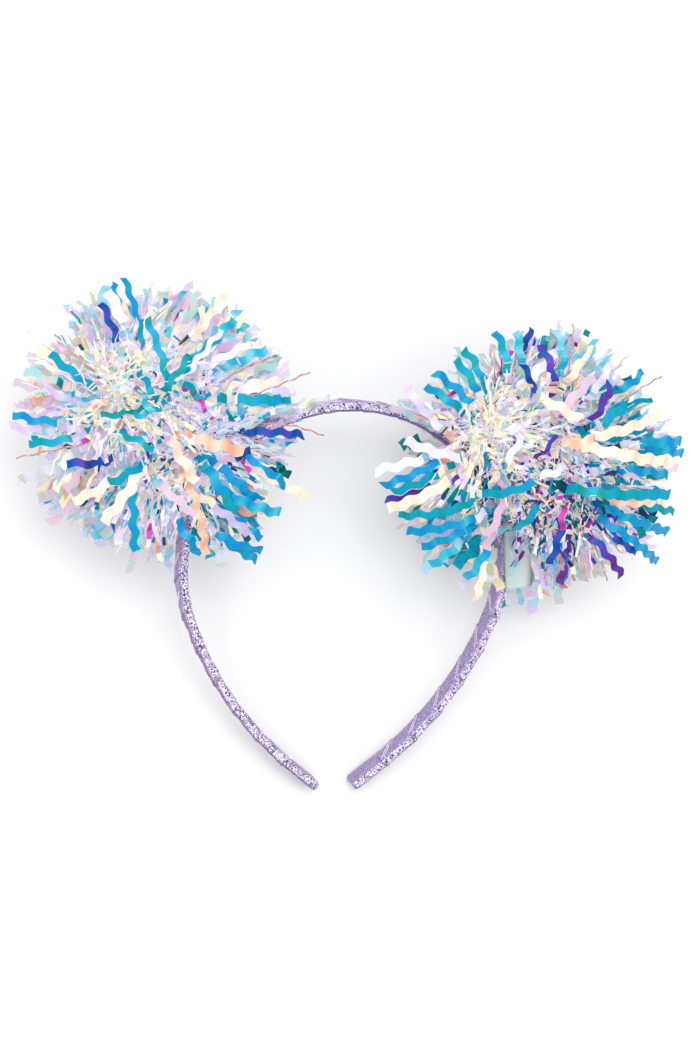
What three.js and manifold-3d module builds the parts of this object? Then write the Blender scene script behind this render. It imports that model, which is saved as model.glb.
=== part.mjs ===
// A headband with a tinsel pompom over each ear and a battery case for its lights.
// A plastic hoop is wound with glitter ribbon. It lies on its back edge, on its two tips and
// the undersides of the pompoms, which hold the crown of the hoop off the table.
// Millimetres and degrees. In the hoop's own frame +X is to the right as seen from the front,
// +Y is up to the crown, +Z is to the front, and the crown is at the origin. Left and right in
// the names are as seen from the front too.

import * as THREE from "three";
import { mergeVertices } from "three/addons/utils/BufferGeometryUtils.js";
import Module from "manifold-3d";

const wasm = await Module();
wasm.setup();

// Hoop: three arcs and a straight end on each side of the crown
const CROWN_RADIUS = 61.8;
const CROWN_ANGLE = 61;
const SIDE_RADIUS = 57.5;
const SIDE_ANGLE = 50;
const LEG_RADIUS = 131.5;
const LEG_ANGLE = 30;
const TIP_LENGTH = 13.3;
const BAND_WIDTH = 10;
const BAND_THICKNESS = 3.5;
const EDGE_ROUND = 0.9;

// Ribbon wound round the hoop
const RIBBON_PITCH = 14;
const RIBBON_STEP = 0.35;
const RIBBON_OVERLAP = 4.5;
const RIBBON_LIP = 0.5;

// Folds of ribbon glued over the tips
const FOLD_LENGTH = 14;
const FOLD_WALL = 0.9;
const FOLD_NOSE = 1.2;

// Pompoms
const LEFT_SEAT_ANGLE = 52;
const LEFT_OFFSET = 24;
const RIGHT_SEAT_ANGLE = 61.5;
const RIGHT_OFFSET = 21.5;
const POMPOM_RADIUS = 57;
const POMPOM_SIT = 45;
const CORE_RADIUS = 14;
const LOCK_COUNT = 66;
const LOCK_ROOT_WIDTH = 6;
const LOCK_TIP_WIDTH = 11;
const LOCK_THICKNESS = 2;
const LOCK_WAVE = 1.4;
const LOCK_STEP = 11;
const LOCK_CURL = 3;
const LOCK_RAGGED = 8;
const LOCK_SLIDE = 6.5;
const LOCK_STRETCH = 1.12;

// Lights
const LED_RADIUS = 2.5;
const LED_LENGTH = 8;
const LED_PROUD = 3;
const CASE_LENGTH = 26;
const CASE_DEPTH = 9.5;
const CASE_WIDTH = 15;
const CASE_ROUND = 2;
const CASE_BEVEL = 1;
const CASE_BELOW_SEAT = 23;

const GAP = 0.3;
const LOCK_GAP = 0.6;

// The thin end of the hoop inside a fold, which leaves the fold as thick as the hoop
const TUCK_WIDTH = BAND_WIDTH - 2 * (FOLD_WALL + GAP);
const TUCK_THICKNESS = BAND_THICKNESS - 2 * (FOLD_WALL + GAP);

const LILAC = { color: 0x9c86b8, roughness: 0.45, metalness: 0.35 };
const FILM = { color: 0x7fd0dc, roughness: 0.15, metalness: 0.3 };
const FROSTED = { color: 0xbccbcb, roughness: 0.5, metalness: 0 };
const LENS = { color: 0xfff4dd, roughness: 0.2, metalness: 0 };

const radians = THREE.MathUtils.degToRad;

// The hoop's centreline at a length from the crown, positive to +X: point, tangent and outward normal
const ARCS = [
  { radius: CROWN_RADIUS, angle: radians(CROWN_ANGLE) },
  { radius: SIDE_RADIUS, angle: radians(SIDE_ANGLE) },
  { radius: LEG_RADIUS, angle: radians(LEG_ANGLE) },
];
const HALF_LENGTH = ARCS.reduce((sum, arc) => sum + arc.radius * arc.angle, TIP_LENGTH);

function hoopAt(length) {
  const side = Math.sign(length) || 1;
  let left = Math.abs(length);
  let heading = 0;
  const point = new THREE.Vector3();
  for (const { radius, angle } of ARCS) {
    const turn = Math.min(left / radius, angle);
    const centre = point.clone().add(outward(heading).multiplyScalar(-radius));
    heading += turn;
    point.copy(centre).add(outward(heading).multiplyScalar(radius));
    left -= turn * radius;
    if (left <= 0) break;
  }
  const along = new THREE.Vector3(Math.cos(heading), -Math.sin(heading), 0);
  point.addScaledVector(along, left);
  const mirror = new THREE.Vector3(side, 1, 1);
  return {
    point: point.multiply(mirror),
    tangent: along.multiply(mirror).multiplyScalar(side),
    normal: outward(heading).multiply(mirror),
  };
}

// Unit vector that leans from straight up by an angle, towards +X
function outward(lean) {
  return new THREE.Vector3(Math.sin(lean), Math.cos(lean), 0);
}

// A length along the hoop whose centreline is at an angle from the crown's centre
const HALVINGS = 24;

function lengthAtAngle(angle) {
  const centre = new THREE.Vector3(0, -CROWN_RADIUS, 0);
  let low = 0;
  let high = HALF_LENGTH;
  for (let i = 0; i < HALVINGS; i++) {
    const middle = (low + high) / 2;
    const arm = hoopAt(middle).point.sub(centre);
    if (Math.atan2(arm.x, arm.y) < radians(angle)) low = middle;
    else high = middle;
  }
  return low;
}

// Corners of a rounded rectangle, each with its place across the band, its place outwards and
// its share of the way round
const CORNER_POINTS = 3;

function bandSection(width, thickness, round) {
  const points = [];
  for (const [across, out, start] of [[1, 1, 90], [1, -1, 0], [-1, -1, -90], [-1, 1, 180]]) {
    for (let k = 0; k < CORNER_POINTS; k++) {
      const turn = radians(start - (90 * k) / (CORNER_POINTS - 1));
      points.push({
        across: across * (width / 2 - round) + round * Math.cos(turn),
        out: out * (thickness / 2 - round) + round * Math.sin(turn),
      });
    }
  }
  const ways = points.map((p, i) => {
    const next = points[(i + 1) % points.length];
    return Math.hypot(next.across - p.across, next.out - p.out);
  });
  const whole = ways.reduce((a, b) => a + b);
  let passed = 0;
  return points.map((p, i) => {
    const share = passed / whole;
    passed += ways[i];
    return { ...p, share };
  });
}

function placeOnHoop(length, across, out) {
  const { point, normal } = hoopAt(length);
  return point.addScaledVector(normal, out).add(new THREE.Vector3(0, 0, across));
}

// A closed mesh through rings of points, with a flat cap on each end. Rings run clockwise as
// seen from the first ring towards the last.
function loft(rings) {
  const count = rings[0].length;
  const positions = rings.flat().flatMap((p) => p.toArray());
  const index = [];
  for (let i = 0; i + 1 < rings.length; i++) {
    for (let j = 0; j < count; j++) {
      const a = i * count + j;
      const b = i * count + ((j + 1) % count);
      index.push(a, b, a + count, b, b + count, a + count);
    }
  }
  const last = (rings.length - 1) * count;
  for (let j = 1; j + 1 < count; j++) {
    index.push(0, j + 1, j, last, last + j, last + j + 1);
  }
  const geometry = new THREE.BufferGeometry();
  geometry.setAttribute("position", new THREE.Float32BufferAttribute(positions, 3));
  geometry.setIndex(index);
  return geometry;
}

function solid(geometry) {
  const bare = geometry.clone();
  bare.deleteAttribute("normal");
  bare.deleteAttribute("uv");
  const merged = mergeVertices(bare, 1e-4);
  const corners = [];
  const all = merged.index.array;
  for (let i = 0; i < all.length; i += 3) {
    const [a, b, c] = all.slice(i, i + 3);
    if (a !== b && b !== c && c !== a) corners.push(a, b, c);
  }
  const mesh = new wasm.Mesh({
    numProp: 3,
    vertProperties: merged.attributes.position.array,
    triVerts: new Uint32Array(corners),
  });
  return new wasm.Manifold(mesh);
}

function geometryOf(manifold) {
  const mesh = manifold.getMesh();
  const positions = new Float32Array(mesh.numVert * 3);
  for (let i = 0; i < mesh.numVert; i++) {
    const start = i * mesh.numProp;
    positions.set(mesh.vertProperties.subarray(start, start + 3), i * 3);
  }
  const geometry = new THREE.BufferGeometry();
  geometry.setAttribute("position", new THREE.BufferAttribute(positions, 3));
  geometry.setIndex(new THREE.BufferAttribute(mesh.triVerts, 1));
  geometry.computeVertexNormals();
  return geometry;
}

function largestBody(manifold) {
  return manifold.decompose().reduce((a, b) => (b.volume() > a.volume() ? b : a));
}

function named(name, geometry, look) {
  const mesh = new THREE.Mesh(geometry, new THREE.MeshStandardMaterial(look));
  mesh.name = name;
  return mesh;
}

// The hoop with its ribbon. Each row of points is a helix, one ribbon pitch for each turn, so
// that the raised edge of every turn runs slantwise over both faces as the ribbon's does.
function wrappedBand() {
  const section = bandSection(BAND_WIDTH, BAND_THICKNESS, EDGE_ROUND);
  const rows = [
    { ahead: 0, rise: 0 },
    { ahead: RIBBON_LIP, rise: RIBBON_STEP },
    { ahead: RIBBON_OVERLAP, rise: 0 },
  ];
  const wound = HALF_LENGTH - FOLD_LENGTH - GAP;
  const turns = Math.ceil(wound / RIBBON_PITCH) + 1;
  const lines = [];
  for (let turn = -turns; turn <= turns; turn++) {
    for (const row of rows) lines.push({ start: turn * RIBBON_PITCH + row.ahead, rise: row.rise });
  }
  const count = section.length;
  const point = (line, k) => {
    const corner = section[k % count];
    const share = corner.share + Math.floor(k / count);
    const free = line.start + share * RIBBON_PITCH;
    const length = THREE.MathUtils.clamp(free, -wound, wound);
    const rise = length === free ? line.rise : 0;
    const across = corner.across * (1 + (2 * rise) / BAND_WIDTH);
    const out = corner.out * (1 + (2 * rise) / BAND_THICKNESS);
    return placeOnHoop(length, across, out);
  };
  const positions = [];
  const face = (a, b, c) => positions.push(...a.toArray(), ...b.toArray(), ...c.toArray());
  for (let i = 0; i + 1 < lines.length; i++) {
    for (let k = 0; k < count; k++) {
      const [a, b] = [point(lines[i], k), point(lines[i], k + 1)];
      const [c, d] = [point(lines[i + 1], k), point(lines[i + 1], k + 1)];
      face(a, b, c);
      face(b, d, c);
    }
  }
  for (const end of [-1, 1]) {
    const ring = section.map((p) => placeOnHoop(end * wound, p.across, p.out));
    for (let k = 1; k + 1 < count; k++) {
      if (end > 0) face(ring[0], ring[k], ring[k + 1]);
      else face(ring[0], ring[k + 1], ring[k]);
    }
  }
  const geometry = new THREE.BufferGeometry();
  geometry.setAttribute("position", new THREE.Float32BufferAttribute(positions, 3));
  const tongues = [-1, 1].map((side) => tuckedTip(side, 0));
  return tongues.reduce((whole, tongue) => whole.add(tongue), solid(geometry));
}

// The thin end of the plastic hoop, which the fold of ribbon covers
function tuckedTip(side, grow) {
  const from = HALF_LENGTH - FOLD_LENGTH - 2 * GAP - grow;
  const to = HALF_LENGTH - FOLD_WALL - GAP + grow;
  const width = TUCK_WIDTH + 2 * grow;
  const thickness = TUCK_THICKNESS + 2 * grow;
  const section = bandSection(width, thickness, thickness / 3);
  const ends = side > 0 ? [from, to] : [-to, -from];
  return solid(loft(ends.map((s) => section.map((p) => placeOnHoop(s, p.across, p.out)))));
}

// How a fold rounds off towards the tip: shares of its nose still to go and of its wall lost
const NOSE_STATIONS = [
  { left: 1, slim: 0 },
  { left: 0.3, slim: 0.25 },
  { left: 0, slim: 0.7 },
];

// A pocket of ribbon over a tip, open where the hoop enters
function endFold(side) {
  const rounded = NOSE_STATIONS.map(({ left, slim }) => ({ back: left * FOLD_NOSE, slim: slim * FOLD_WALL }));
  const stations = [{ back: FOLD_LENGTH, slim: 0 }, ...rounded];
  const ordered = side > 0 ? stations : [...stations].reverse();
  const rings = ordered.map(({ back, slim }) => {
    const width = BAND_WIDTH - 2 * slim;
    const thickness = BAND_THICKNESS - 2 * slim;
    const section = bandSection(width, thickness, EDGE_ROUND);
    return section.map((p) => placeOnHoop(side * (HALF_LENGTH - back), p.across, p.out));
  });
  return solid(loft(rings)).subtract(tuckedTip(side, GAP));
}

// The hoop's own space with a clearance all round, for cutting what seats on it
function bandSpace(from, to, clearance) {
  const room = 2 * (RIBBON_STEP + clearance);
  const section = bandSection(BAND_WIDTH + room, BAND_THICKNESS + room, EDGE_ROUND);
  const steps = Math.ceil((to - from) / 5);
  const rings = [];
  for (let i = 0; i <= steps; i++) {
    const s = from + ((to - from) * i) / steps;
    rings.push(section.map((p) => placeOnHoop(s, p.across, p.out)));
  }
  return solid(loft(rings));
}

// Where a pompom sits: its length along the hoop, its foot there, its axis and its centre
function seat(side, angle, offset) {
  const length = side * lengthAtAngle(angle);
  const { point, normal } = hoopAt(length);
  const centre = point.clone().addScaledVector(normal, offset);
  return { side, length, foot: point, axis: normal, offset, centre };
}

const LEFT_SEAT = seat(-1, LEFT_SEAT_ANGLE, LEFT_OFFSET);
const RIGHT_SEAT = seat(1, RIGHT_SEAT_ANGLE, RIGHT_OFFSET);

// How far the hoop leans back when its tips and its pompoms are on the table, and how high its
// crown is then
const TIP_REACH = hoopAt(HALF_LENGTH - FOLD_NOSE).point.y;
const TIP_HALF = BAND_WIDTH / 2;
const SEAT_DROP = (LEFT_SEAT.centre.y + RIGHT_SEAT.centre.y) / 2;
const LEAN_ARM = Math.hypot(SEAT_DROP - TIP_REACH, TIP_HALF);
const LEAN = Math.asin(POMPOM_SIT / LEAN_ARM) - Math.atan2(TIP_HALF, SEAT_DROP - TIP_REACH);
const CROWN_HEIGHT = -TIP_REACH * Math.sin(LEAN) + TIP_HALF * Math.cos(LEAN);

// An even but irregular share from 0 to 1 for each lock and each use, from the golden ratio's
// multiples
const GOLDEN_SHARE = (Math.sqrt(5) - 1) / 2;

function scatter(i, use) {
  const wide = (i + 1) * (use + 2) * (use + GOLDEN_SHARE);
  return wide - Math.floor(wide);
}

// Directions spread evenly over a sphere, on a spiral from one pole to the other
function spiralDirection(i, count) {
  const height = 1 - (2 * (i + 0.5)) / count;
  const turn = i * Math.PI * (3 - Math.sqrt(5));
  const across = Math.sqrt(1 - height * height);
  return new THREE.Vector3(across * Math.cos(turn), height, across * Math.sin(turn));
}

function turnToAxis(vector, axis) {
  return vector.applyQuaternion(new THREE.Quaternion().setFromUnitVectors(new THREE.Vector3(0, 1, 0), axis));
}

// A lock's middle line from inside the core to the pompom's ragged outside, made longer by a
// stretch where it steps aside for the hoop
function lockLine(place, direction, i, stretch) {
  const slide = direction.dot(place.axis) * LOCK_SLIDE;
  const root = place.centre.clone().addScaledVector(place.axis, slide);
  const free = POMPOM_RADIUS - LOCK_RAGGED * scatter(i, 1) - slide * direction.dot(place.axis);
  const reach = free * stretch;
  const steps = Math.round(reach / LOCK_STEP);
  const aside = new THREE.Vector3(scatter(i, 2) - 0.5, 0, scatter(i, 3) - 0.5).normalize();
  const bend = turnToAxis(aside, direction);
  const line = [];
  for (let k = 1; k <= steps; k++) {
    const share = k / steps;
    line.push(
      root
        .clone()
        .addScaledVector(direction, reach * share)
        .addScaledVector(bend, LOCK_CURL * share * share),
    );
  }
  return line;
}

function lockWidth(share) {
  return THREE.MathUtils.lerp(LOCK_ROOT_WIDTH, LOCK_TIP_WIDTH, share);
}

const HOOP_STATIONS = 160;
const HOOP_POINTS = Array.from({ length: HOOP_STATIONS + 1 }, (_, i) =>
  hoopAt(HALF_LENGTH * ((2 * i) / HOOP_STATIONS - 1)).point,
);

// Whether a point is nearer to the hoop than a distance
function nearHoop(p, room) {
  if (Math.abs(p.z) > BAND_WIDTH / 2 + room) return false;
  return HOOP_POINTS.some((q) => Math.hypot(p.x - q.x, p.y - q.y) < BAND_THICKNESS / 2 + room);
}

const SIDESTEP = 0.06;
const MOST_SIDESTEPS = 20;

// The line of a lock in a direction, or in the nearest that passes in front of the hoop or
// behind it
function clearLine(place, direction, i) {
  const up = direction.z < 0 ? -SIDESTEP : SIDESTEP;
  const turned = direction.clone();
  for (let tries = 0; tries < MOST_SIDESTEPS; tries++) {
    const line = lockLine(place, turned, i, Math.min(LOCK_STRETCH, 1 / turned.dot(direction)));
    const room = (share) => LOCK_GAP + RIBBON_STEP + LOCK_WAVE + lockWidth(share) / 2;
    if (!line.some((p, k) => nearHoop(p, room((k + 1) / line.length)))) return line;
    turned.z += up;
    turned.normalize();
  }
  return null;
}

// One wavy lock of film strips: a flat bar that waves edgewise and widens outwards
function lock(line, i) {
  const direction = line[line.length - 1].clone().sub(line[0]).normalize();
  const twist = scatter(i, 4) * Math.PI;
  const flat = turnToAxis(new THREE.Vector3(Math.cos(twist), 0, Math.sin(twist)), direction);
  const thick = new THREE.Vector3().crossVectors(flat, direction);
  const rings = line.map((middle, k) => {
    const share = (k + 1) / line.length;
    const wave = LOCK_WAVE * (k % 2 ? 1 : -1);
    const half = lockWidth(share) / 2;
    return [[-1, -1], [-1, 1], [1, 1], [1, -1]].map(([a, b]) =>
      middle
        .clone()
        .addScaledVector(flat, wave + a * half)
        .addScaledVector(thick, (b * LOCK_THICKNESS) / 2),
    );
  });
  return solid(loft(rings));
}

// The core's outline, as shares of its radius and of its height above the hoop
const CORE_OUTLINE = [
  { radius: 0, height: 0 },
  { radius: 0.62, height: 0 },
  { radius: 0.86, height: 0.25 },
  { radius: 1, height: 0.5 },
  { radius: 0.94, height: 0.75 },
  { radius: 0.66, height: 0.93 },
  { radius: 0, height: 1 },
];
const CORE_SIDES = 10;
const LED_SIDES = 12;

// A solid turned about a pompom's axis, from an outline of radii and heights above the hoop
function turnedOn(place, outline, sides) {
  const profile = outline.map(({ radius, height }) => new THREE.Vector2(radius, height));
  const geometry = new THREE.LatheGeometry(profile, sides);
  const turn = new THREE.Quaternion().setFromUnitVectors(new THREE.Vector3(0, 1, 0), place.axis);
  geometry.applyQuaternion(turn);
  geometry.translate(...place.foot.toArray());
  return solid(geometry);
}

// The round core that the strips are tied to
function core(place) {
  const top = place.offset + CORE_RADIUS;
  const outline = CORE_OUTLINE.map((row) => ({ radius: row.radius * CORE_RADIUS, height: row.height * top }));
  return turnedOn(place, outline, CORE_SIDES);
}

// A round-headed light, or with a clearance the hole for it in the core
function led(place, clearance) {
  const radius = LED_RADIUS + clearance;
  const top = place.offset + CORE_RADIUS + LED_PROUD + clearance;
  const base = top - LED_LENGTH - 2 * clearance;
  const head = [0, 30, 60, 90].map((degrees) => ({
    radius: degrees < 90 ? radius * Math.cos(radians(degrees)) : 0,
    height: top - radius * (1 - Math.sin(radians(degrees))),
  }));
  return turnedOn(place, [{ radius: 0, height: base }, { radius, height: base }, ...head], LED_SIDES);
}

const CASE_SEAT = RIGHT_SEAT.length + CASE_BELOW_SEAT;

// The battery case's box, from the hoop's centreline outwards
function caseBox(clearance) {
  const { point, tangent, normal } = hoopAt(CASE_SEAT);
  const long = CASE_LENGTH / 2 + clearance;
  const wide = CASE_WIDTH / 2 + clearance;
  const shape = new THREE.Shape();
  shape.absarc(long - CASE_ROUND, wide - CASE_ROUND, CASE_ROUND, 0, Math.PI / 2);
  shape.absarc(CASE_ROUND - long, wide - CASE_ROUND, CASE_ROUND, Math.PI / 2, Math.PI);
  shape.absarc(CASE_ROUND - long, CASE_ROUND - wide, CASE_ROUND, Math.PI, 1.5 * Math.PI);
  shape.absarc(long - CASE_ROUND, CASE_ROUND - wide, CASE_ROUND, 1.5 * Math.PI, 2 * Math.PI);
  const geometry = new THREE.ExtrudeGeometry(shape, {
    depth: CASE_DEPTH + clearance - CASE_BEVEL,
    bevelThickness: CASE_BEVEL,
    bevelSize: CASE_BEVEL,
    bevelOffset: -CASE_BEVEL,
    bevelSegments: 2,
    curveSegments: 3,
  });
  const frame = new THREE.Matrix4().makeBasis(tangent, new THREE.Vector3(0, 0, -1), normal);
  geometry.applyMatrix4(frame);
  geometry.translate(...point.toArray());
  return solid(geometry);
}

// The case, hollowed where the hoop passes
function batteryCase() {
  return caseBox(0).subtract(bandSpace(CASE_SEAT - CASE_LENGTH, CASE_SEAT + CASE_LENGTH, GAP));
}

// A block that fills the space under the table, in the hoop's own frame
function underTable() {
  const size = 8 * POMPOM_RADIUS;
  const geometry = new THREE.BoxGeometry(size, size, size);
  geometry.translate(0, 0, -CROWN_HEIGHT - size / 2);
  geometry.rotateX(-LEAN);
  return solid(geometry);
}

function pompom(place) {
  const locks = [];
  for (let i = 0; i < LOCK_COUNT; i++) {
    const line = clearLine(place, turnToAxis(spiralDirection(i, LOCK_COUNT), place.axis), i);
    if (line) locks.push(lock(line, i));
  }
  const tuft = locks.reduce((whole, one) => whole.add(one), core(place));
  const near = 2 * CORE_RADIUS;
  const cuts = [
    bandSpace(place.length - near, place.length + near, GAP),
    led(place, GAP),
    underTable(),
  ];
  if (place.side > 0) cuts.push(caseBox(LOCK_GAP));
  return largestBody(cuts.reduce((whole, cut) => whole.subtract(cut), tuft));
}

const hoop = new THREE.Group();
hoop.add(
  named("wrapped_band", geometryOf(wrappedBand()), LILAC),
  named("end_fold_left", geometryOf(endFold(-1)), LILAC),
  named("end_fold_right", geometryOf(endFold(1)), LILAC),
  named("pompom_left", geometryOf(pompom(LEFT_SEAT)), FILM),
  named("pompom_right", geometryOf(pompom(RIGHT_SEAT)), FILM),
  named("led_left", geometryOf(led(LEFT_SEAT, 0)), LENS),
  named("led_right", geometryOf(led(RIGHT_SEAT, 0)), LENS),
  named("battery_case", geometryOf(batteryCase()), FROSTED),
);
hoop.rotation.x = LEAN;
hoop.position.z = CROWN_HEIGHT;

// The origin is on the table, under the middle of the whole headband
const headband = new THREE.Group();
headband.add(hoop);
headband.updateMatrixWorld(true);
const room = new THREE.Box3().setFromObject(headband, true);
const middle = room.getCenter(new THREE.Vector3());
headband.position.set(-middle.x, -middle.y, -room.min.z);

export default headband;
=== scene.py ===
import math

import bpy
import numpy as np
from mathutils import Matrix, Vector


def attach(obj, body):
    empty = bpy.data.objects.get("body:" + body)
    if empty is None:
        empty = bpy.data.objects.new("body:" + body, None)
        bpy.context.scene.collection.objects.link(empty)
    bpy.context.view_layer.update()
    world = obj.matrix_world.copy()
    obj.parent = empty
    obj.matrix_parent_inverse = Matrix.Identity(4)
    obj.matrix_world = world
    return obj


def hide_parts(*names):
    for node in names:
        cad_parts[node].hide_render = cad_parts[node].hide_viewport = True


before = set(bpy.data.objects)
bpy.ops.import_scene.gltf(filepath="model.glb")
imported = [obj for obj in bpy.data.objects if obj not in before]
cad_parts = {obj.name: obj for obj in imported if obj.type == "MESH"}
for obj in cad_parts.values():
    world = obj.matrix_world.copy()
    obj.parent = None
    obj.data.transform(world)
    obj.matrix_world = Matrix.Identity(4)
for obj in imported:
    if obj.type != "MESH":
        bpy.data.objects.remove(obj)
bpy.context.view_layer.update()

# The hoop's own frame: u to the right, v up to the crown, w to the front, in millimetres, with
# the crown of its centreline at the origin. It leans back with its tips on the table.
MM = 0.001
LEAN = math.radians(18.407)
CROWN = np.array([-3.149, 46.678, 50.110])

# Camera: the photo's viewing angle on the hoop, found by fitting its edges
PHOTO = (700, 1050)
AIM = np.array([0.0, -65.0, 0.0])
TURN, TIP, ROLL = (math.radians(a) for a in (14.77, -11.2, 3.13))
DISTANCE = 760.0
FOCAL = 2052.2
SHIFT = (-6.11, 54.85)

BACK = np.array([-math.sin(TURN) * math.cos(TIP), -math.sin(TIP), math.cos(TURN) * math.cos(TIP)])
_level = np.cross((0.0, 1.0, 0.0), BACK)
_level /= np.linalg.norm(_level)
_upright = np.cross(BACK, _level)
RIGHT = math.cos(ROLL) * _level + math.sin(ROLL) * _upright
UP = -math.sin(ROLL) * _level + math.cos(ROLL) * _upright
EYE = AIM + BACK * DISTANCE


def turned(p):
    """Directions in the hoop's frame, as directions in the part's frame."""
    p = np.asarray(p, float)
    c, s = math.cos(LEAN), math.sin(LEAN)
    u, v, w = p[..., 0], p[..., 1], p[..., 2]
    return np.stack([u, c * v - s * w, s * v + c * w], -1)


def placed(p):
    """Points in the hoop's frame in millimetres, as points in the part's frame in metres."""
    return (turned(p) + CROWN) * MM


def seen_at(x, y, w):
    """The point of the hoop's frame at height w that the photo shows at pixel x, y."""
    rightward = RIGHT * (x - PHOTO[0] / 2 - SHIFT[0]) / FOCAL
    downward = UP * (y - PHOTO[1] / 2 - SHIFT[1]) / FOCAL
    ray = rightward - downward - BACK
    return EYE + ray * (w - EYE[2]) / ray[2]


def shown_at(p):
    """The photo's pixels that show points of the hoop's frame."""
    from_aim = p - AIM
    depth = DISTANCE - from_aim @ BACK
    x = PHOTO[0] / 2 + SHIFT[0] + FOCAL * (from_aim @ RIGHT) / depth
    y = PHOTO[1] / 2 + SHIFT[1] - FOCAL * (from_aim @ UP) / depth
    return x, y


def add_camera():
    data = bpy.data.cameras.new("camera")
    data.sensor_width = 36.0
    data.lens = FOCAL * data.sensor_width / PHOTO[1]
    data.shift_x = -SHIFT[0] / PHOTO[1]
    data.shift_y = SHIFT[1] / PHOTO[1]
    data.clip_start = 0.01
    camera = bpy.data.objects.new("camera", data)
    bpy.context.collection.objects.link(camera)
    axes = [turned(a) for a in (RIGHT, UP, BACK)]
    matrix = Matrix.Identity(4)
    for column, axis in enumerate(axes):
        for row in range(3):
            matrix[row][column] = axis[row]
    matrix.translation = Vector(placed(EYE))
    camera.matrix_world = matrix
    bpy.context.scene.camera = camera


# Node helpers


def new_material(name):
    mat = bpy.data.materials.new(name)
    mat.use_nodes = True
    tree = mat.node_tree
    for node in list(tree.nodes):
        tree.nodes.remove(node)
    out = tree.nodes.new("ShaderNodeOutputMaterial")
    return mat, tree, out


def node(tree, kind, values=(), **settings):
    n = tree.nodes.new("ShaderNode" + kind)
    for key, value in settings.items():
        setattr(n, key, value)
    for key, value in dict(values).items():
        if isinstance(value, bpy.types.NodeSocket):
            tree.links.new(value, n.inputs[key])
        else:
            n.inputs[key].default_value = value
    return n


def ramp(tree, fac, stops, interpolation="LINEAR"):
    n = tree.nodes.new("ShaderNodeValToRGB")
    n.color_ramp.interpolation = interpolation
    while len(n.color_ramp.elements) > 1:
        n.color_ramp.elements.remove(n.color_ramp.elements[-1])
    n.color_ramp.elements[0].position = stops[0][0]
    n.color_ramp.elements[0].color = (*stops[0][1], 1.0)
    for position, colour in stops[1:]:
        n.color_ramp.elements.new(position).color = (*colour, 1.0)
    tree.links.new(fac, n.inputs["Fac"])
    return n.outputs["Color"]


def srgb(r, g, b):
    """A colour of 0 to 255 as the renderer's linear values."""
    def linear(c):
        c /= 255.0
        return c / 12.92 if c <= 0.04045 else ((c + 0.055) / 1.055) ** 2.4
    return tuple(linear(c) for c in (r, g, b))


def mesh_object(name, verts, faces, material, smooth=True):
    mesh = bpy.data.meshes.new(name)
    verts = np.asarray(verts, np.float32)
    faces = np.asarray(faces, np.int32)
    mesh.vertices.add(len(verts))
    mesh.vertices.foreach_set("co", verts.ravel())
    mesh.loops.add(faces.size)
    mesh.loops.foreach_set("vertex_index", faces.ravel())
    mesh.polygons.add(len(faces))
    sides = faces.shape[1]
    mesh.polygons.foreach_set("loop_start", np.arange(0, faces.size, sides, dtype=np.int32))
    mesh.polygons.foreach_set("loop_total", np.full(len(faces), sides, dtype=np.int32))
    mesh.polygons.foreach_set("use_smooth", np.full(len(faces), smooth))
    mesh.update(calc_edges=True)
    mesh.validate()
    mesh.materials.append(material)
    obj = bpy.data.objects.new(name, mesh)
    bpy.context.collection.objects.link(obj)
    return obj


def add_values(obj, **layers):
    """Named layers of one value for each face."""
    for name, values in layers.items():
        layer = obj.data.attributes.new(name, "FLOAT", "FACE")
        layer.data.foreach_set("value", np.asarray(values, np.float32).ravel())


# Film: the iridescent strips' tones in order along their scale, each with its colour in the light
# and how much light it lets straight through
TONES = [
    ("gold", (246, 240, 204), 0.25),
    ("cream", (252, 240, 228), 0.08),
    ("peach", (252, 214, 190), 0.15),
    ("coral", (240, 180, 150), 0.15),
    ("rose", (206, 152, 160), 0.20),
    ("sand", (228, 218, 200), 0.45),
    ("sage", (204, 224, 200), 0.45),
    ("glass", (232, 234, 246), 0.70),
    ("white", (236, 236, 246), 0.10),
    ("lilac", (226, 216, 246), 0.60),
    ("pink", (244, 204, 226), 0.35),
    ("mint", (196, 232, 222), 0.50),
    ("ice", (176, 224, 246), 0.50),
    ("aqua", (60, 205, 218), 0.30),
    ("azure", (0, 160, 222), 0.24),
    ("teal", (0, 184, 206), 0.22),
    ("sea", (0, 166, 164), 0.25),
    ("pine", (0, 104, 116), 0.20),
    ("navy", (22, 44, 132), 0.15),
    ("deep", (10, 104, 196), 0.20),
    ("violet", (112, 66, 200), 0.25),
    ("plum", (124, 30, 112), 0.20),
    ("magenta", (228, 84, 205), 0.30),
]
TONE_STEP = 1 / (len(TONES) - 1)
TONE_AT = {tone[0]: i * TONE_STEP for i, tone in enumerate(TONES)}
OPEN_AT = {name: clear for name, _, clear in TONES}
# How light the film's colours are, and a painted glow standing in for light: the share of them that
# it gives off by itself where it is dark and how much that grows as it gets paler, and how strong
# that is in the middle, to lift the shade among the strips, and at the tips
LIT = 0.80
PAINTED_GLOW_DARK, PAINTED_GLOW_PALE = 0.35, 0.72
PAINTED_GLOW_MIDDLE, PAINTED_GLOW_TIP = 1.1, 0.6
# The share of the light that the film spreads to its far side
SPREAD = 0.4


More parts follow.
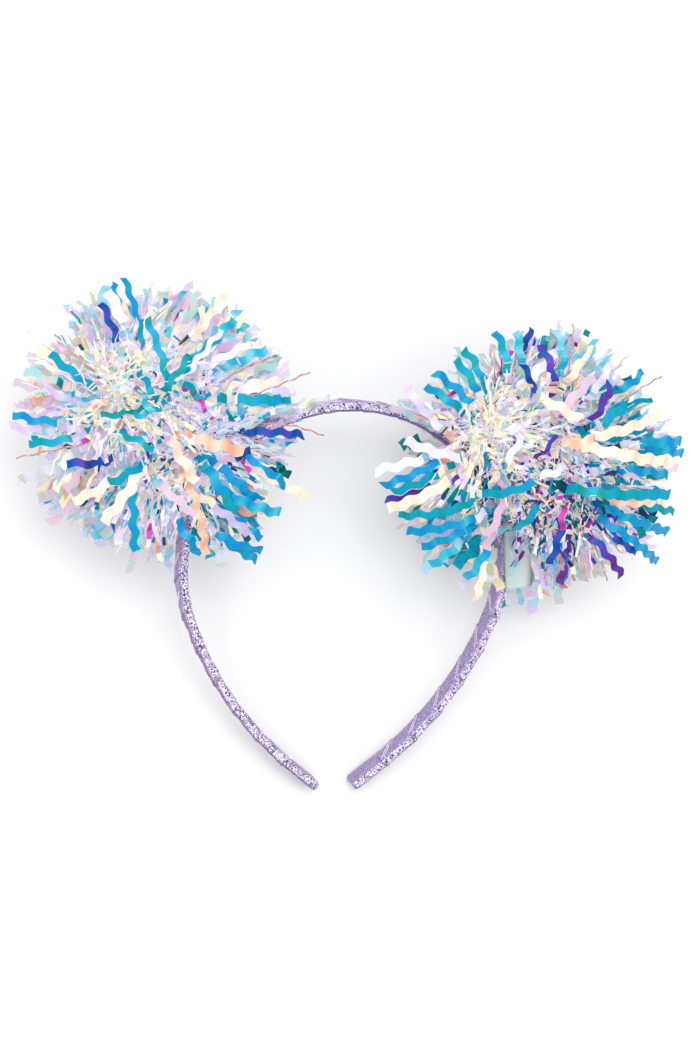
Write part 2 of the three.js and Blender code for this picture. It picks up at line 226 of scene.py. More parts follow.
def film_material():
    mat, tree, out = new_material("film")
    tone, clear, inside = (node(tree, "Attribute", attribute_name=name).outputs["Fac"]
                           for name in ("tone", "clear", "glow"))
    where = node(tree, "TexCoord").outputs["Object"]
    cloud = node(tree, "TexNoise", {"Vector": where, "Scale": 300.0, "Detail": 2.0}).outputs["Fac"]
    drift = node(tree, "Math", {0: cloud, 1: TONE_STEP, 2: -0.5 * TONE_STEP},
                 operation="MULTIPLY_ADD").outputs[0]
    shown = node(tree, "Math", {0: tone, 1: drift}, operation="ADD", use_clamp=True).outputs[0]
    tones = [(TONE_AT[name], srgb(*rgb)) for name, rgb, _ in TONES]
    body = [(at, tuple(LIT * c for c in rgb)) for at, rgb in tones]
    gel = [(at, tuple(c ** 0.5 for c in rgb)) for at, rgb in tones]
    # Painted glow: the film gives off a share of its own colour, more as it gets paler, and more in
    # the middle of a pompom than at the tips (the glow attribute), standing in for light in its
    # shade
    bright = [(at, tuple(c * (PAINTED_GLOW_DARK + PAINTED_GLOW_PALE * sum(rgb) / 3) for c in rgb))
              for at, rgb in body]
    colour, tint, painted_glow_colour = (ramp(tree, shown, stops) for stops in (body, gel, bright))
    painted_glow_colour = node(tree, "VectorMath", {0: painted_glow_colour, "Scale": inside}, operation="SCALE").outputs[0]
    fine = node(tree, "TexNoise", {"Vector": where, "Scale": 1400.0, "Detail": 3.0}).outputs["Fac"]
    rough = node(tree, "MapRange", {"Value": fine, "From Min": 0.3, "From Max": 0.7,
                                    "To Min": 0.14, "To Max": 0.34}).outputs[0]
    bump = node(tree, "Bump", {"Height": fine, "Strength": 0.2, "Distance": 0.0003}).outputs[0]
    solid = node(tree, "BsdfPrincipled", {
        "Base Color": colour, "Roughness": rough, "Normal": bump, "IOR": 1.5, "Metallic": 0.15,
        "Specular IOR Level": 0.3, "Emission Color": painted_glow_colour, "Emission Strength": 1.0})
    glow = node(tree, "BsdfTranslucent", {"Color": colour})
    lit = node(tree, "MixShader", {0: SPREAD, 1: solid.outputs[0], 2: glow.outputs[0]})
    through = node(tree, "BsdfTransparent", {"Color": tint})
    whole = node(tree, "MixShader", {0: clear, 1: lit.outputs[0], 2: through.outputs[0]})
    tree.links.new(whole.outputs[0], out.inputs["Surface"])
    mat.cycles.emission_sampling = "NONE"
    return mat


# Strips. All lengths in millimetres, in the hoop's frame.
WAVE_LENGTH = 7.7
FILM = 0.16
LONG_FACETS = 46
SHORT_FACETS = 12
# The first millimetres, over which a strip's wave and its width grow, and how fast its twist fades
WAVE_GROWS, WIDTH_GROWS = 5.0, 8.0
TWIST_FADE = 1.6
# How far the tone swings with each wave: a painted sheen, standing in for the waves' slopes
# catching the light in turn
PAINTED_WAVE_SHEEN = 0.45 * TONE_STEP
# The most light that a strip lets straight through
CLEAREST = 0.85
# Phases are drawn from 0 to this, about a whole wave
PHASES = 6.3
FRONT = np.array([0.0, 0.0, 1.0])


def unit(a):
    return a / np.linalg.norm(a, axis=-1, keepdims=True)


def curve_points(path, shares):
    t = np.asarray(shares)[None, :, None]
    a, b, c, d = (path[:, i, None, :] for i in range(4))
    return a * (1 - t) ** 3 + 3 * b * t * (1 - t) ** 2 + 3 * c * t ** 2 * (1 - t) + d * t ** 3


def strip_mesh(name, rows, material):
    """Wavy strips of film along cubic curves, from rows with an entry for each strip and value."""
    n, facets = rows["tone"].shape
    stations = facets + 1
    share = np.linspace(0, 1, stations)
    point = curve_points(rows["path"], share)
    along = unit(np.gradient(point, axis=1))
    side = unit(np.cross(along, rows["facing"][:, None, :]))
    normal = np.cross(side, along)
    steps = np.linalg.norm(np.diff(point, axis=1), axis=2)
    run = np.concatenate([np.zeros((n, 1)), np.cumsum(steps, 1)], 1)
    angle = rows["twist"][:, None] * (1 - share[None, :]) ** TWIST_FADE + rows["roll"][:, None]
    across = side * np.cos(angle)[..., None] + normal * np.sin(angle)[..., None]
    out = normal * np.cos(angle)[..., None] - side * np.sin(angle)[..., None]
    turn = 2 * math.pi * run / WAVE_LENGTH + rows["phase"][:, None]
    wave = rows["amplitude"][:, None] * np.sin(turn)
    wave *= np.clip(run / WAVE_GROWS, 0, 1)
    half = rows["width"][:, None] / 2 * (0.45 + 0.55 * np.clip(run / WIDTH_GROWS, 0, 1))
    slant = np.zeros((n, stations))
    slant[:, -1] = rows["slant"]
    corners = np.zeros((n, stations, 4, 3))
    for j, (x, z) in enumerate(((-1, -1), (1, -1), (1, 1), (-1, 1))):
        corners[:, :, j] = (point + across * (wave + x * half)[..., None]
                            + out * (rows["crease"] + z * FILM / 2)[..., None]
                            + along * (x * slant)[..., None])
    verts = rest_on_table(placed(corners.reshape(-1, 3)))
    first = (np.arange(n) * stations * 4)[:, None, None, None]
    ring = (np.arange(facets) * 4)[None, :, None, None]
    sides = np.array([[j, (j + 1) % 4, (j + 1) % 4 + 4, j + 4] for j in range(4)])
    walls = (first + ring + sides).reshape(-1, 4)
    starts = (first[:, 0, 0] + np.array([3, 2, 1, 0])).reshape(-1, 4)
    ends = (first[:, 0, 0] + facets * 4 + np.array([0, 1, 2, 3])).reshape(-1, 4)
    obj = mesh_object(name, verts, np.concatenate([walls, starts, ends]), material, smooth=False)
    # Painted sheen: the tone swings with the wave
    swing = PAINTED_WAVE_SHEEN * np.sin(turn[:, 1:] + 1.0)
    # The painted glow runs from its strength at the root to that at the tip
    glow = rows["glow"][:, :1] + (rows["glow"][:, 1:] - rows["glow"][:, :1]) * share[None, 1:]
    layers = {"tone": np.clip(rows["tone"] + swing, 0, 1), "clear": rows["clear"], "glow": glow}
    for key, values in layers.items():
        by_face = [np.repeat(values.reshape(-1), 4), values[:, 0], values[:, -1]]
        add_values(obj, **{key: np.concatenate(by_face)})
    return obj


# The height, in metres, below which strips bend flat instead of going through the table
SOFT = 0.003


def rest_on_table(verts):
    """Presses what would be below the table flat on it."""
    low = verts[:, 2] < SOFT
    verts[low, 2] = SOFT * np.exp((verts[low, 2] - SOFT) / SOFT)
    return verts


# Hoop centreline, as in the solid: crown, side and leg arcs and a straight end
ARCS = ((61.8, math.radians(61)), (57.5, math.radians(50)), (131.5, math.radians(30)))
TIP_LENGTH = 13.3
BAND_WIDTH = 10.0
BAND_THICKNESS = 3.5
HALF_LENGTH = sum(r * a for r, a in ARCS) + TIP_LENGTH


def hoop_at(length):
    """Point, tangent and outward normal of the centreline at a length from the crown."""
    side = -1.0 if length < 0 else 1.0
    left = abs(length)
    heading, p = 0.0, np.zeros(2)
    for radius, angle in ARCS:
        turn = min(left / radius, angle)
        centre = p - radius * np.array([math.sin(heading), math.cos(heading)])
        heading += turn
        p = centre + radius * np.array([math.sin(heading), math.cos(heading)])
        left -= turn * radius
        if left <= 0:
            break
    left = max(left, 0.0)
    tangent = np.array([math.cos(heading), -math.sin(heading)])
    p = p + tangent * left
    point = np.array([side * p[0], p[1], 0.0])
    tangent = np.array([tangent[0], side * tangent[1], 0.0])
    normal = np.array([side * math.sin(heading), math.cos(heading), 0.0])
    return point, tangent, normal


HOOP = np.array([hoop_at(s)[0] for s in np.linspace(-HALF_LENGTH, HALF_LENGTH, 181)])


def hits_hoop(path):
    """Which strips would run through the hoop past their first few millimetres."""
    p = curve_points(path, np.linspace(0.15, 1.0, 14))
    near = np.abs(p[..., 2]) < BAND_WIDTH / 2 + 2.0
    gap = np.sqrt(((p[:, :, None, :2] - HOOP[None, None, :, :2]) ** 2).sum(-1)).min(2)
    return (near & (gap < BAND_THICKNESS / 2 + 2.0)).any(1)


# Mixes of tones by where on a pompom the strips are: shares of each tone
MIXES = {
    "soft": dict(glass=4, lilac=3, white=2, mint=2, pink=2, cream=3, ice=2, aqua=1, teal=1.2,
                 sea=0.5, gold=1, sand=1),
    "pale": dict(glass=5, lilac=5, pink=3, mint=3, sand=1.5, gold=1.5, cream=1.5, ice=3,
                 coral=0.3, white=1.5),
    "teal": dict(teal=4, azure=2, sea=4, pine=2, cream=2, peach=2, coral=1.5, glass=2, lilac=1,
                 navy=0.4),
    "banded": dict(teal=4, azure=2, sea=3, pine=1.5, cream=3, peach=2, lilac=2, glass=2,
                   violet=0.5, navy=0.6),
    "mixed": dict(glass=4, lilac=3, cream=3, ice=2, sea=2, teal=2, pink=1, violet=0.7, deep=0.5,
                  pine=0.6, sand=1),
    "cool": dict(lilac=4, glass=4, pink=2, mint=2, violet=1, azure=1.5, deep=1.2, magenta=0.7,
                 plum=0.6, navy=0.8, sand=2, rose=1),
    "veil": dict(glass=6, lilac=5, pink=3, mint=3, sand=1.5, sage=0.7, ice=3, gold=1, white=2),
    "spark": dict(sand=3, sage=2, glass=5, lilac=5, gold=2, white=7, cream=4, pink=5, mint=4,
                  ice=5, peach=2, coral=1.2, sea=2.2, pine=1.4, teal=1.6, azure=0.8, deep=0.5,
                  navy=0.6, magenta=0.9, plum=0.5, violet=0.6, rose=1),
    "gleam": dict(white=12, cream=4, pink=6, mint=4, ice=8, lilac=9, glass=6, gold=1.6, sand=0.6,
                  sage=0.8, peach=1.4, coral=0.4, aqua=1.8, sea=1.2, teal=1.1, azure=0.8,
                  pine=0.4, deep=0.3, violet=0.4, magenta=0.5),
    # Crumbs of the right pompom's lower fans: the large shares of pine, navy and plum are partly
    # painted shade, dark bits standing in for the shade in the gaps between strips
    "deep_and_shade": dict(white=4, cream=3, pink=3, mint=2, ice=2, lilac=3, glass=3, gold=2, sand=2,
                    peach=1.5, coral=1.2, rose=1.5, sea=2.5, teal=2, azure=1.2, pine=3.5,
                    deep=1.5, navy=3.5, violet=1.4, plum=2.2, magenta=1.3),
    "golden": dict(gold=7, sand=3, sage=3, white=7, cream=4, mint=3, pink=1.5, peach=1, glass=2),
}

# Each pompom: its middle and the garland's string as photo pixels and heights, the mix in which its
# long strips sparkle, and its fans, each from one direction to another in degrees, with the mix of
# its long strips, the mix of its crumpled ones and its reach
POMPOMS = {
    "left": dict(
        middle=(160, 426, 2.0),
        path=[(113, 392, 14), (140, 384, 8), (178, 400, 6),
              (188, 446, 12), (160, 466, 4), (128, 436, 0)],
        crumbs="gleam",
        fans=[(-15, 25, "soft", "gleam", 1.03), (25, 75, "soft", "gleam", 0.98),
              (75, 125, "soft", "gleam", 0.99), (125, 215, "pale", "spark", 1.03),
              (215, 270, "pale", "spark", 0.98), (270, 345, "teal", "spark", 1.04)]),
    "right": dict(
        middle=(530, 468, 2.0),
        path=[(483, 436, 14), (515, 430, 6), (552, 434, 8),
              (574, 478, 12), (545, 500, 2), (505, 478, -2)],
        crumbs="spark",
        fans=[(-30, 28, "banded", "spark", 1.08), (28, 75, "mixed", "spark", 1.07),
              (75, 140, "mixed", "spark", 1.04), (140, 230, "banded", "deep_and_shade", 1.02),
              (230, 265, "teal", "deep_and_shade", 0.97), (265, 330, "cool", "deep_and_shade", 0.98)]),
}
# How far strips reach sideways, up or down, and to the front or back
REACH = np.array([53.0, 53.0, 43.0])
# What no strip hides. Points of the case: photo pixels and height, and how many pixels round them.
CASE_SEEN = [(524, 576, -7.5, 9), (518, 585, -7.5, 8), (527, 566, -7.5, 7), (512, 582, -7.5, 6)]
# Stretches of the hoop by length from the crown, the height and pixels round them, and the step
BAND_SEEN = [(-112, -82), (-37, 41), (83, 112)]
BAND_CLEAR = (4.0, 8.0)
BAND_STEP = 2.0


def band_seen():
    """Points along the stretches of the hoop that show."""
    points = []
    for start, end in BAND_SEEN:
        for length in np.arange(start, end, BAND_STEP):
            x, y = shown_at(hoop_at(length)[0])
            points.append((float(x), float(y), *BAND_CLEAR))
    return points


def hides(path, kept_clear):
    """Which strips would hide any of these points in the photo."""
    p = curve_points(path, np.linspace(0.2, 1.0, 28))
    x, y = shown_at(p)
    hidden = np.zeros(len(path), bool)
    for px, py, height, radius in kept_clear:
        hidden |= ((np.hypot(x - px, y - py) < radius) & (p[..., 2] > height)).any(1)
    return hidden


def draw(rng, mix, shape):
    """Tones and clearness drawn from a mix."""
    names = list(MIXES[mix])
    weights = np.array(list(MIXES[mix].values()), float)
    chosen = rng.choice(len(names), shape, p=weights / weights.sum())
    tone, clear = (np.array([scale[m] for m in names]) for scale in (TONE_AT, OPEN_AT))
    return tone[chosen], clear[chosen]


def in_runs(rng, change, *layers):
    """The layers with each facet's value kept from the first facet of its run."""
    shape = layers[0].shape
    begins = np.where(rng.random(shape) < change, np.arange(shape[1]), 0)
    begins = np.maximum.accumulate(begins, axis=1)
    return [np.take_along_axis(layer, begins, 1) for layer in layers]


def tones_along(rng, tone, clear, facets, crumbs, break_up):
    """Each strip keeps its tone towards its tip, and sparkles in other tones towards its root."""
    n = len(tone)
    share = (np.arange(facets) + 0.5) / facets
    shade = rng.normal(0, 0.3 * TONE_STEP, (n, facets))
    other, open_other = draw(rng, crumbs, (n, facets))
    chance = break_up * np.clip(1.35 - 1.5 * share, 0, 1)[None, :]
    broken = rng.random((n, facets)) < chance
    shade, other, open_other, broken = in_runs(rng, 0.3, shade, other, open_other, broken)
    tones = np.where(broken, other, tone[:, None] + shade)
    clears = np.where(broken, open_other, clear[:, None])
    return np.clip(tones, 0, 1), np.clip(clears, 0, CLEAREST)


def arc(root, tip, swing):
    """Control points of a curve from root to tip that swings out sideways by a vector."""
    way = tip - root
    return np.stack([root, root + way / 3 + swing, root + way * 2 / 3 + swing, tip], 1)


def creases(rng, n, stations, size):
    """Small alternate folds across each strip, deeper near the root."""
    zigzag = np.where(np.arange(stations) % 2, 1.0, -1.0)[None, :]
    depth = rng.uniform(0, 1, (n, stations)) * size * np.linspace(1.0, 0.2, stations)[None, :]
    return zigzag * depth


def string_points(pompom):
    return np.array([seen_at(*p) for p in pompom["path"]])


BUNCH = 5
# How far a strip is moved to pass behind or in front of the hoop instead of through it
STEP_ROUND = 9.0


def long_strips(side, seed, count, veil, kept_clear):
    """Rows for a pompom's long strips, which leave its garland in bunches in every direction."""
    rng = np.random.default_rng(seed)
    pompom = POMPOMS[side]
    string = string_points(pompom)
    middle = seen_at(*pompom["middle"])
    kept, total = [], 0
    m = count // BUNCH * BUNCH
    bunch = np.arange(m) // BUNCH
    bunches = m // BUNCH
    while total < count:
        around = rng.uniform(0, 2 * math.pi, bunches)[bunch] + rng.normal(0, 0.10, m)
        lift = np.arcsin(rng.uniform(-0.75, 0.95, bunches))
        lift = np.where(rng.random(bunches) < 0.35, lift * 0.4, lift)[bunch]
        lift = lift + rng.normal(0, 0.07, m)
        flat = np.cos(lift)
        direction = np.stack([np.cos(around) * flat, np.sin(around) * flat, np.sin(lift)], 1)
        reach = rng.uniform(0.86, 1.0, bunches)[bunch] * rng.uniform(0.86, 1.03, m)
        degrees = np.degrees(around)
        tone, clear = np.zeros(m), np.zeros(m)
        for start, end, mix, _, fan_reach in pompom["fans"]:
            inside = ((degrees - start) % 360) < (end - start)
            tone[inside], clear[inside] = draw(rng, "veil" if veil else mix, inside.sum())
            reach[inside] *= fan_reach
        tip = middle + direction * REACH * reach[:, None]
        score = (string - middle) @ direction.T
        chosen = (score.T + rng.normal(0, 8.0, (bunches, len(string)))[bunch]).argmax(1)
        root = string[chosen] + rng.normal(0, 2.5, (m, 3))
        path = arc(root, tip, rng.normal(0, 1.6, (bunches, 3))[bunch] + rng.normal(0, 0.8, (m, 3)))
        facing = FRONT + rng.normal(0, 0.3, (bunches, 3))[bunch] + rng.normal(0, 0.15, (m, 3))
        steep = np.abs(direction[:, 2]) > 0.75
        facing[steep] = rng.normal(0, 1.0, (steep.sum(), 3))
        tones, clears = tones_along(rng, tone, clear, LONG_FACETS, pompom["crumbs"],
                                    0.9 if veil else 0.6)
        if veil:
            width, amplitude, turning = rng.uniform(0.7, 2.6, m), rng.uniform(0.3, 0.7, m), 5.0
            clears = np.clip(clears + 0.12, 0, CLEAREST)
        else:
            width, amplitude, turning = rng.uniform(2.6, 3.5, m), rng.uniform(0.5, 0.8, m), 2.2
        rows = dict(
            path=path, facing=facing, width=width, amplitude=amplitude,
            phase=rng.uniform(0, PHASES, bunches)[bunch] + rng.normal(0, 0.35, m),
            slant=rng.normal(0, 0.5, m), twist=rng.normal(0, turning, m),
            roll=rng.normal(0, 0.2, m), crease=creases(rng, m, LONG_FACETS + 1, 0.12), tone=tones,
            clear=clears, glow=np.tile([PAINTED_GLOW_MIDDLE, PAINTED_GLOW_TIP], (m, 1)))
        around_hoop = np.where(direction[:, 2] < -0.1, -STEP_ROUND, STEP_ROUND) * hits_hoop(path)
        path[:, 1:, 2] += around_hoop[:, None]
        free = ~hits_hoop(path) & ~hides(path, kept_clear)
        kept.append({key: value[free] for key, value in rows.items()})
        total += free.sum()
    return {key: np.concatenate([k[key] for k in kept])[:count] for key in kept[0]}


def crinkles(side, seed, count, kept_clear):
    """Rows for the short narrow crumpled strips round the garland's string."""
    rng = np.random.default_rng(seed)
    pompom = POMPOMS[side]
    string = string_points(pompom)
    chosen = rng.integers(0, len(string), count)
    root = string[chosen] + rng.normal(0, 3.5, (count, 3))
    direction = rng.normal(0, 1, (count, 3))
    direction[:, 2] = np.abs(direction[:, 2]) + 0.2
    direction = unit(direction)
    length = rng.uniform(12, 36, count)
    tip = root + direction * length[:, None]
    path = arc(root, tip, rng.normal(0, 2.0, (count, 3)))
    shape = (count, SHORT_FACETS)
    away = tip - seen_at(*pompom["middle"])
    degrees = np.degrees(np.arctan2(away[:, 1], away[:, 0]))
    tone, clear = np.zeros(shape), np.zeros(shape)
    for start, end, _, crumbs, _ in pompom["fans"]:
        inside = ((degrees - start) % 360) < (end - start)
        tone[inside], clear[inside] = draw(rng, crumbs, (inside.sum(), SHORT_FACETS))
    gold, gold_clear = draw(rng, "golden", shape)
    golden = ((chosen == 0) & (rng.random(count) < 0.8))[:, None]
    tone, clear = np.where(golden, gold, tone), np.where(golden, gold_clear, clear)
    tone, clear = in_runs(rng, 0.75, tone, clear)
    rows = dict(
        path=path, facing=rng.normal(0, 1, (count, 3)), width=rng.uniform(0.35, 2.0, count),
        amplitude=rng.uniform(0.2, 0.6, count), phase=rng.uniform(0, PHASES, count),
        slant=rng.normal(0, 0.5, count), twist=rng.normal(0, 7.0, count),
        roll=rng.normal(0, 1.0, count), crease=creases(rng, count, SHORT_FACETS + 1, 0.4),
        tone=tone, clear=clear * 0.5,
        glow=np.tile([PAINTED_GLOW_MIDDLE, (PAINTED_GLOW_MIDDLE + PAINTED_GLOW_TIP) / 2], (count, 1)))
    free = ~hits_hoop(path) & ~hides(path, kept_clear)
    return {key: value[free] for key, value in rows.items()}


# Strips that stand out in the photo: the pixels where each comes into view and of its tip, its
# tone, its width, and how far it stands off the pompom's form
HEROES = {
    "left": [
        (139, 324, 124, 278, "azure", 3.0, 0), (117, 302, 114, 283, "azure", 2.6, -2),
        (115, 334, 101, 303, "deep", 3.0, 0), (119, 313, 108, 291, "white", 4.4, 1),
        (166, 374, 147, 318, "teal", 3.0, 2), (168, 385, 190, 355, "sea", 2.8, 1),
        (189, 364, 217, 337, "teal", 3.4, 0), (215, 340, 234, 319, "aqua", 3.6, 0),
        (206, 322, 227, 292, "cream", 3.0, 0), (198, 360, 221, 330, "white", 2.4, 2),
        (246, 358, 267, 349, "aqua", 3.8, 0), (222, 358, 250, 343, "white", 3.0, 1),
        (248, 400, 281, 400, "teal", 4.2, 0), (82, 380, 50, 354, "teal", 3.4, 2),
        (55, 360, 38, 350, "cream", 4.0, 1), (50, 380, 25, 370, "mint", 3.6, 0),
        (69, 400, 44, 387, "lilac", 3.6, 1), (42, 421, 13, 414, "azure", 3.2, 0),
        (35, 430, 10, 426, "lilac", 3.2, -2), (63, 440, 29, 443, "teal", 3.2, 0),
        (95, 463, 67, 463, "deep", 3.4, 2), (68, 460, 60, 466, "white", 4.0, 2),
        (50, 470, 21, 480, "glass", 4.4, 0), (105, 486, 73, 501, "cream", 4.2, 2),
        (130, 488, 103, 522, "cream", 4.4, 3), (135, 470, 107, 484, "teal", 3.6, 0),
        (133, 500, 135, 551, "teal", 3.6, 2), (137, 545, 129, 572, "mint", 3.6, -4),
        (130, 412, 101, 416, "sea", 2.4, 3), (154, 410, 134, 416, "teal", 2.4, 3),
        (208, 442, 244, 452, "peach", 4.8, 4), (179, 454, 196, 482, "peach", 4.0, 3),
        (196, 503, 206, 555, "peach", 3.4, 3), (168, 492, 195, 515, "pink", 3.2, 4),
        (215, 480, 236, 513, "teal", 4.4, 0), (228, 474, 256, 500, "azure", 4.0, -2),
        (261, 465, 288, 488, "azure", 3.4, 0), (284, 484, 309, 499, "cream", 4.2, 1),
        (236, 499, 280, 513, "azure", 4.2, 1), (225, 539, 262, 551, "azure", 4.0, 0),
        (235, 547, 257, 560, "azure", 3.6, -3), (217, 545, 223, 568, "glass", 4.4, -2),
        (187, 536, 200, 555, "azure", 3.4, -2), (223, 513, 250, 534, "lilac", 3.6, 2),
        (267, 432, 303, 435, "deep", 3.4, -9), (240, 456, 250, 450, "deep", 3.0, 0),
        (130, 437, 154, 449, "teal", 2.8, 3), (200, 402, 207, 411, "magenta", 2.0, 3),
        (146, 382, 153, 394, "teal", 2.6, 2), (145, 400, 152, 413, "aqua", 2.6, 3),
        (190, 388, 204, 402, "sea", 2.8, 1), (236, 520, 262, 538, "azure", 3.4, -2),
    ],
    "right": [
        (453, 456, 405, 441, "white", 4.4, 3), (412, 462, 375, 471, "white", 4.0, 0),
        (430, 467, 382, 486, "azure", 3.6, 1), (430, 478, 392, 492, "teal", 3.6, 2),
        (441, 486, 388, 509, "cream", 4.8, 3), (404, 497, 386, 500, "violet", 3.0, -3),
        (470, 502, 399, 515, "teal", 3.4, 2), (466, 522, 407, 532, "azure", 3.8, 3),
        (458, 534, 422, 547, "azure", 3.6, 1), (449, 553, 422, 570, "aqua", 4.0, 0),
        (483, 557, 466, 579, "azure", 3.8, 2), (475, 570, 460, 587, "lilac", 4.0, -2),
        (483, 570, 476, 600, "cream", 3.8, 1), (500, 511, 487, 536, "pink", 4.0, 5),
        (466, 398, 434, 372, "azure", 3.6, 1), (445, 398, 426, 386, "teal", 3.6, 0),
        (424, 410, 407, 385, "lilac", 3.6, -4), (470, 378, 455, 360, "teal", 3.6, 1),
        (476, 366, 464, 349, "teal", 3.6, 0), (505, 354, 495, 332, "teal", 3.4, 1),
        (520, 352, 516, 332, "aqua", 3.6, 0), (532, 384, 522, 364, "deep", 3.0, 1),
        (552, 370, 540, 345, "violet", 3.4, 2), (563, 355, 556, 330, "aqua", 3.6, 0),
        (533, 376, 556, 353, "white", 4.4, 1), (573, 374, 582, 360, "cream", 3.6, 0),
        (599, 385, 613, 360, "white", 4.2, 1), (567, 404, 594, 376, "pink", 4.2, 2),
        (601, 408, 611, 383, "violet", 3.4, 3), (628, 386, 643, 372, "azure", 3.4, 0),
        (607, 419, 626, 404, "teal", 4.6, 2), (603, 435, 662, 414, "cream", 4.6, 3),
        (657, 442, 681, 442, "azure", 4.4, 1), (655, 450, 683, 454, "azure", 3.8, -1),
        (599, 450, 674, 463, "cream", 4.8, 4), (630, 470, 668, 475, "azure", 3.6, 0),
        (578, 490, 670, 494, "teal", 4.4, 3), (605, 501, 657, 501, "peach", 3.6, 2),
        (640, 505, 674, 511, "teal", 3.2, 0), (603, 507, 668, 532, "azure", 4.4, 2),
        (610, 525, 657, 562, "azure", 3.8, 0), (611, 534, 636, 553, "deep", 3.6, 1),
        (601, 547, 622, 576, "violet", 3.4, 0), (561, 528, 550, 564, "deep", 3.6, 1),
        (563, 511, 561, 530, "magenta", 2.6, 4), (521, 526, 538, 507, "teal", 3.8, 4),
        (493, 494, 535, 482, "teal", 3.8, 4), (553, 404, 580, 420, "cream", 4.2, 3),
        (520, 440, 506, 462, "white", 3.4, 4), (546, 450, 556, 434, "violet", 2.2, 4),
        (590, 440, 570, 446, "peach", 4.2, 3), (560, 470, 540, 476, "white", 3.4, 4),
    ],
}
# Thin threads of film: the pixels where each comes into view and of its tip
STRANDS = {
    "left": [(271, 389, 310, 372), (248, 364, 278, 356), (290, 422, 324, 436), (259, 438, 275, 453),
             (72, 354, 55, 334), (75, 446, 16, 458)],
    "right": [(573, 360, 573, 324), (598, 547, 607, 581), (640, 388, 662, 376),
              (398, 405, 430, 424)],
}


# How far a pompom's front stands off its middle
FRONT_HEIGHT = 35.0
# Strips that stand out are a little narrower than they look in the photo
HERO_WIDTH = 0.82
# How many pixels round them no other strip hides them, and how far below them that begins
HERO_CLEAR, HERO_BELOW = 5.5, 1.0


def dome(pompom, x, y, extra):
    """The point of a pompom's front that the photo shows at a pixel."""
    middle = seen_at(*pompom["middle"])
    height = np.zeros(len(x))
    for _ in range(4):
        p = np.stack([seen_at(a, b, h) for a, b, h in zip(x, y, height)])
        off = ((p[:, :2] - middle[:2]) ** 2).sum(1) / REACH[0] ** 2
        height = middle[2] + FRONT_HEIGHT * np.sqrt(np.clip(1 - 0.7 * off, 0.2, 1)) + extra
    return np.stack([seen_at(a, b, h) for a, b, h in zip(x, y, height)])


def front_strips(side, seed):
    """Rows for the strips that stand out, and points along what shows of them, each with its photo
    pixel, the height above which no other strip may pass and how far round it."""
    rng = np.random.default_rng(seed)
    pompom = POMPOMS[side]
    string = string_points(pompom)
    table = HEROES[side]
    x, y, tip_x, tip_y, width, extra = (
        np.array([row[i] for row in table], float) for i in (0, 1, 2, 3, 5, 6))
    n = len(table)
    enter = dome(pompom, x, y, extra)
    tip = dome(pompom, tip_x, tip_y, extra + 1)
    nearest = ((enter[:, None, :2] - string[None, :, :2]) ** 2).sum(2).argmin(1)
    back = unit(enter - tip) * [1, 1, 0]
    root = string[nearest] * 0.35 + (enter + back * 16.0) * 0.65
    root[:, 2] = string[nearest, 2] + rng.normal(4, 2.0, n)
    hidden = np.linalg.norm(enter - root, axis=1)
    shown = np.linalg.norm(tip - enter, axis=1)
    at = np.clip(hidden / (hidden + shown), 0.3, 0.7)[:, None]
    bend = (enter - root * (1 - at) ** 2 - tip * at ** 2) / (2 * at * (1 - at))
    path = np.stack([root, root + (bend - root) * 2 / 3, tip + (bend - tip) * 2 / 3, tip], 1)
    tone = np.array([TONE_AT[row[4]] for row in table])
    clear = np.array([OPEN_AT[row[4]] for row in table]) * 0.8
    tones, clears = tones_along(rng, tone, clear, LONG_FACETS, pompom["crumbs"], 0.6)
    shares = (np.arange(LONG_FACETS) + 0.5) / LONG_FACETS
    outer = shares[None, :] > at - 0.1
    patch = rng.normal(0, 0.25, tones.shape)
    patch = TONE_STEP * (patch + np.where(rng.random(tones.shape) < 0.08, -0.6, 0.0))
    patch, = in_runs(rng, 0.16, patch)
    tones = np.where(outer, tone[:, None] + patch, tones)
    clears = np.where(outer, clear[:, None], clears)
    rows = dict(
        path=path, facing=FRONT + rng.normal(0, 0.15, (n, 3)), width=width * HERO_WIDTH,
        amplitude=rng.uniform(0.45, 0.72, n), phase=rng.uniform(0, PHASES, n),
        slant=rng.normal(0, 0.5, n), twist=rng.normal(0, 0.5, n), roll=rng.normal(0, 0.1, n),
        crease=np.zeros((n, LONG_FACETS + 1)), tone=np.clip(tones, 0, 1), clear=clears,
        glow=np.full((n, 2), PAINTED_GLOW_TIP))
    kept_from = at[:, 0] * 0.7 + 0.3
    seen = np.concatenate([curve_points(path[i:i + 1], np.linspace(kept_from[i], 1.0, 7))[0]
                           for i in range(n)])
    px, py = shown_at(seen)
    heights = seen[:, 2] - HERO_BELOW
    return rows, [(x, y, height, HERO_CLEAR) for x, y, height in zip(px, py, heights)]


# Film that has strayed out of the pompoms: photo pixels and heights of both ends, tone, width and
# clearness
STRAYS = {
    "left": [
        (318, 409, -7, 250, 432, -12, "ice", 4.2, 0.5),
        (292, 407, 8, 311, 400, 7, "gold", 2.6, 0.2),
        (270, 418, 8, 330, 398, 7, "glass", 3.0, 0.75),
        (262, 432, 5, 300, 412, 7.5, "lilac", 2.4, 0.6),
    ],
    "right": [
        (458, 440, 12, 391, 406, 7, "mint", 2.8, 0.62),
        (452, 436, 13, 400, 403, 7.5, "pink", 0.8, 0.3),
        (452, 430, 14, 398, 400, 6, "mint", 1.8, 0.7),
        (484, 556, 7.5, 500, 590, 7, "gold", 3.6, 0.45),
        (496, 548, 8, 484, 590, 7, "sage", 3.8, 0.5),
        (530, 575, -9, 534, 613, -11, "lilac", 4.4, 0.6),
        (512, 578, -9, 505, 614, -11, "glass", 3.6, 0.65),
        (517, 578, -10, 520, 604, -12, "ice", 2.4, 0.6),
        (560, 580, -6, 558, 604, -9, "mint", 3.6, 0.6),
        (500, 596, 2, 505, 606, 0, "teal", 3.0, 0.2),
    ],
}


